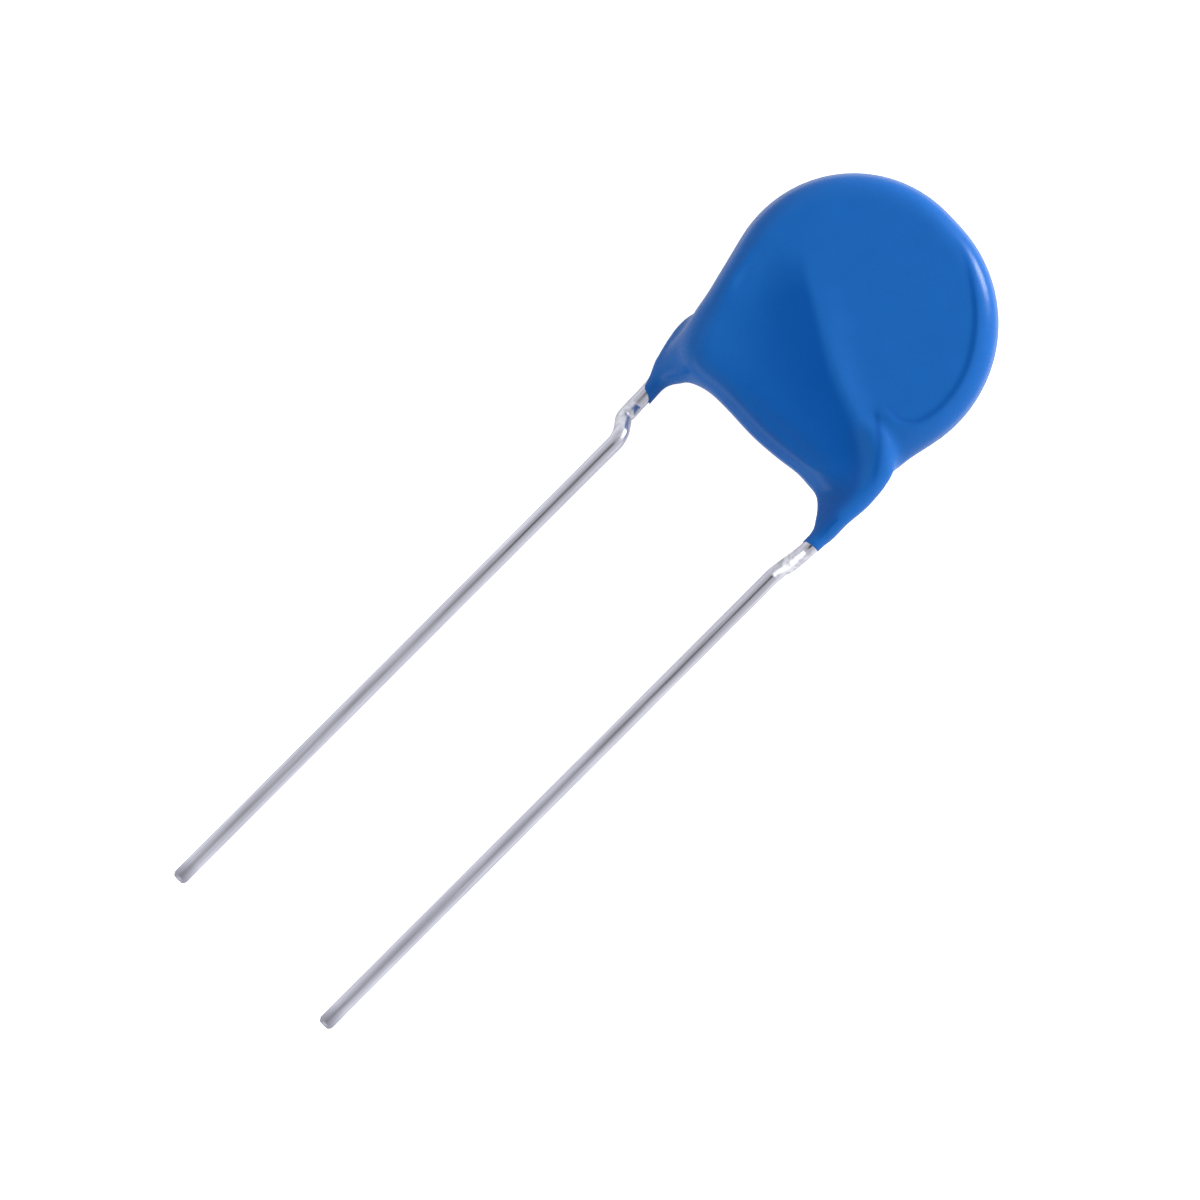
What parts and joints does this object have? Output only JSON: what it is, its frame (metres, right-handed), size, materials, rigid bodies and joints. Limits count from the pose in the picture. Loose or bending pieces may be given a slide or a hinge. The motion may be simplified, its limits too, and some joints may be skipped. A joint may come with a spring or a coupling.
{
  "type": "ceramic disc capacitor",
  "caption": "Radial ceramic disc capacitor: an oval disc dip-coated in glossy blue resin, with a neck round each tinned wire lead and leads kinked into a common plane.",
  "frame": {"origin": "centre of the bounding box in X and Y, at its lowest point, where the ridge over the back lead lies on the table", "axes": "+Y along the leads from their cut tips to the disc, +X from the back lead to the front lead, +Z out of the disc's front face"},
  "size_m": [0.0106, 0.037, 0.0032],
  "materials": {
    "blue_resin": "gloss",
    "tinned_wire": "satin",
    "ceramic": "matte",
    "silver_film": "satin",
    "solder": "satin"
  },
  "bodies": {
    "root": {"coating": "blue_resin", "front_lead": "tinned_wire", "back_lead": "tinned_wire", "ceramic_disc": "ceramic", "front_electrode": "silver_film", "back_electrode": "silver_film", "front_solder": "solder", "back_solder": "solder"}
  },
  "joints": []
}
